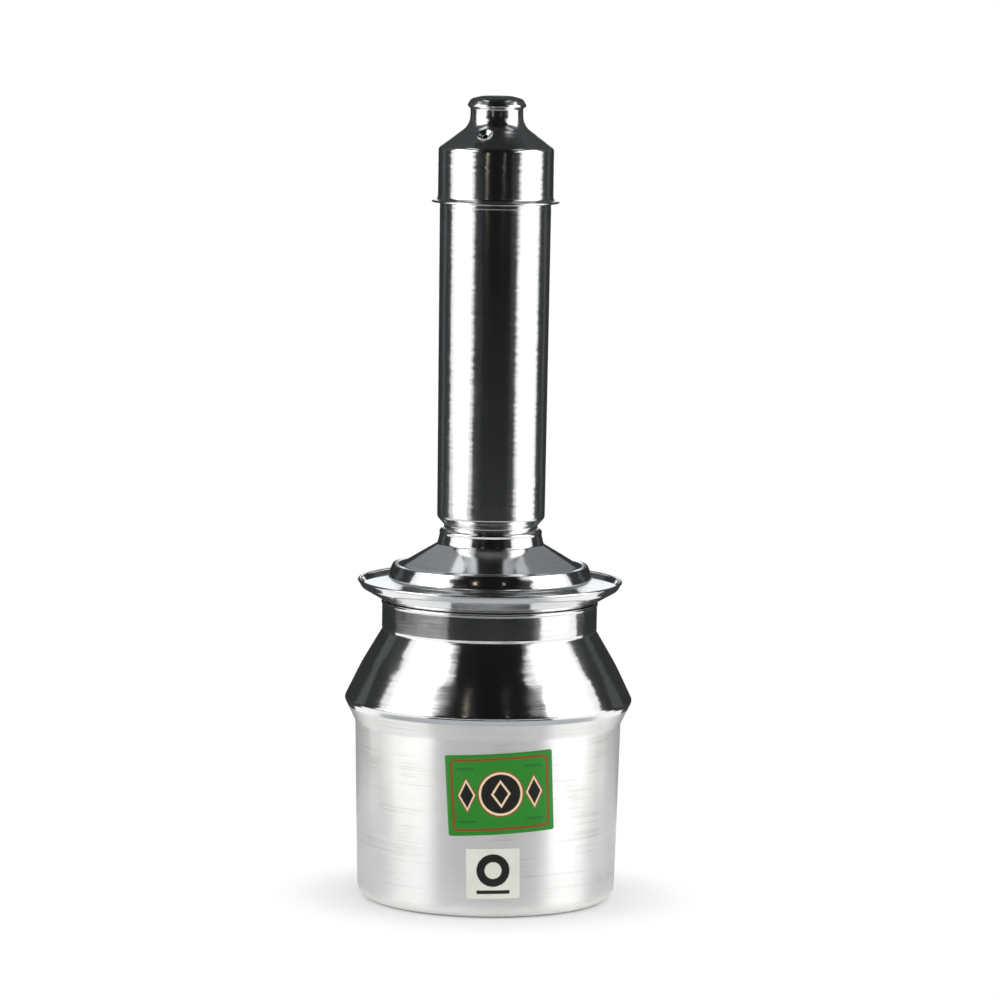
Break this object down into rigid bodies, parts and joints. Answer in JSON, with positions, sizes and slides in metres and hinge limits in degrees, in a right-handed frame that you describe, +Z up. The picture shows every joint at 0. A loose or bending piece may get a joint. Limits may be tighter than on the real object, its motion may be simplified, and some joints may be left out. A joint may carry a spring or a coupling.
{
  "type": "puttu maker",
  "caption": "Spun aluminium puttu steamer: round water pot, brimmed funnel foot with a tall steaming tube, loose perforated plate inside, and a flanged cap lid with a vented cone and knob.",
  "frame": {"origin": "centre of the pot's flat base, on the surface that it stands on", "axes": "+Z up along the axis of the pot and tube, -Y towards the front that carries the stickers, +X to the right seen from the front"},
  "size_m": [0.1726, 0.1726, 0.4823],
  "materials": {
    "satin_aluminium": "satin, with fine lathe lines round the body; polished shoulder and neck",
    "polished_aluminium": "bright polished spun sheet with faint lathe lines",
    "plain_aluminium": "plain rolled sheet",
    "sticker_film": "thin glossy sticker film"
  },
  "bodies": {
    "pot": {"pot": "satin_aluminium"},
    "steam_column": {"base_funnel": "polished_aluminium", "steam_tube": "polished_aluminium"},
    "plate": {"perforated_plate": "plain_aluminium"},
    "lid": {"lid": "polished_aluminium"}
  },
  "joints": [
    {"name": "column_lift", "type": "slide", "parent": "pot", "child": "steam_column", "axis": [0, 0, 1], "range_m": [0, 0.12]},
    {"name": "plate_slide", "type": "slide", "parent": "steam_column", "child": "plate", "axis": [0, 0, 1], "range_m": [0, 0.21]},
    {"name": "lid_lift", "type": "slide", "parent": "steam_column", "child": "lid", "axis": [0, 0, 1], "range_m": [0, 0.06]}
  ]
}
